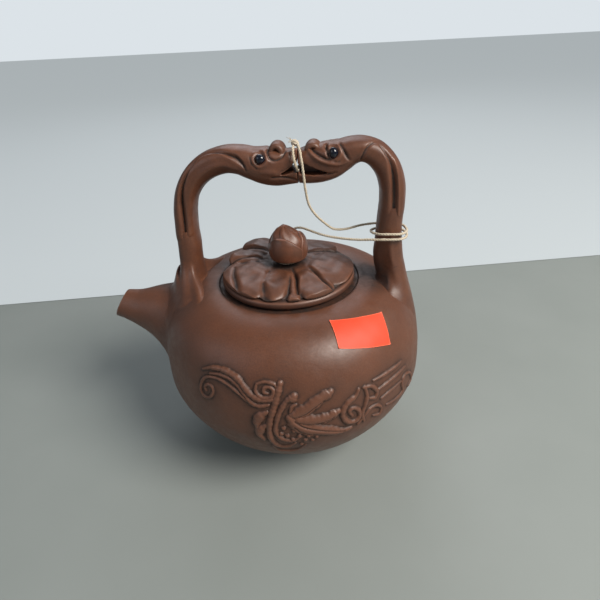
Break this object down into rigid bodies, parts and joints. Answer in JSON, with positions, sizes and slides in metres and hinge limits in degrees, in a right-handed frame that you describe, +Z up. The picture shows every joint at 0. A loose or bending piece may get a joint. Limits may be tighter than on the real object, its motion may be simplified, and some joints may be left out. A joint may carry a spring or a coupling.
{
  "type": "teapot",
  "caption": "Small brown stoneware teapot with a round body, short spout, overhead dragon handle, loose lotus-leaf lid with bud knob, applied leaf scrolls and a tie string.",
  "frame": {"origin": "centre of the foot's flat underside", "axes": "+Z up; the spout points to -X; the handle stands in the XZ plane; -Y is the front with the label"},
  "size_m": [0.1383, 0.1152, 0.1322],
  "materials": {
    "brown_stoneware": "satin unglazed",
    "dark_stoneware": "matte unglazed",
    "inlay_bead": "glossy",
    "cotton_string": "matte twisted",
    "orange_paper": "matte"
  },
  "bodies": {
    "pot": {"back_bud_sprig": "brown_stoneware", "back_edge_curl": "brown_stoneware", "back_far_curl": "brown_stoneware", "back_inner_scroll": "brown_stoneware", "back_leaf_bud": "brown_stoneware", "back_long_leaf": "brown_stoneware", "back_lower_blade": "brown_stoneware", "back_lower_tendril": "brown_stoneware", "back_outer_scroll": "brown_stoneware", "back_right_curl": "brown_stoneware", "back_side_lobe": "brown_stoneware", "back_small_curl": "brown_stoneware", "back_upper_blade": "brown_stoneware", "back_upper_tendril": "brown_stoneware", "body_shell": "brown_stoneware", "foot_disc": "dark_stoneware", "front_bud_sprig": "brown_stoneware", "front_edge_curl": "brown_stoneware", "front_far_curl": "brown_stoneware", "front_inner_scroll": "brown_stoneware", "front_leaf_bud": "brown_stoneware", "front_long_leaf": "brown_stoneware", "front_lower_blade": "brown_stoneware", "front_lower_tendril": "brown_stoneware", "front_outer_scroll": "brown_stoneware", "front_right_curl": "brown_stoneware", "front_side_lobe": "brown_stoneware", "front_small_curl": "brown_stoneware", "front_upper_blade": "brown_stoneware", "front_upper_tendril": "brown_stoneware", "left_dragon": "brown_stoneware", "left_eye_back": "inlay_bead", "left_eye_front": "inlay_bead", "left_nose_curl": "brown_stoneware", "left_pillar": "brown_stoneware", "paper_label": "orange_paper", "right_dragon": "brown_stoneware", "right_eye_back": "inlay_bead", "right_eye_front": "inlay_bead", "right_nose_curl": "brown_stoneware", "right_pillar": "brown_stoneware", "spout": "brown_stoneware", "string_drop": "cotton_string", "string_knot": "cotton_string", "string_lid_run": "cotton_string", "string_top_loop": "cotton_string"},
    "knob_loop": {"string_knob_loop": "cotton_string"},
    "lid": {"lid_disc": "brown_stoneware", "lid_flange": "brown_stoneware", "lotus_leaf": "brown_stoneware", "knob_neck": "dark_stoneware", "knob_bud": "brown_stoneware", "knob_petal_front": "brown_stoneware", "knob_petal_right": "brown_stoneware", "knob_petal_back": "brown_stoneware"}
  },
  "joints": [
    {"name": "lid_lift", "type": "slide", "parent": "pot", "child": "knob_loop", "axis": [0, 0, 1], "range_m": [0, 0.0105], "deforming": ["string_lid_run"]},
    {"name": "lid_turn", "type": "hinge", "parent": "knob_loop", "child": "lid", "pos_m": [0, 0, 0.0766], "axis": [0, 0, 1], "continuous": true}
  ]
}
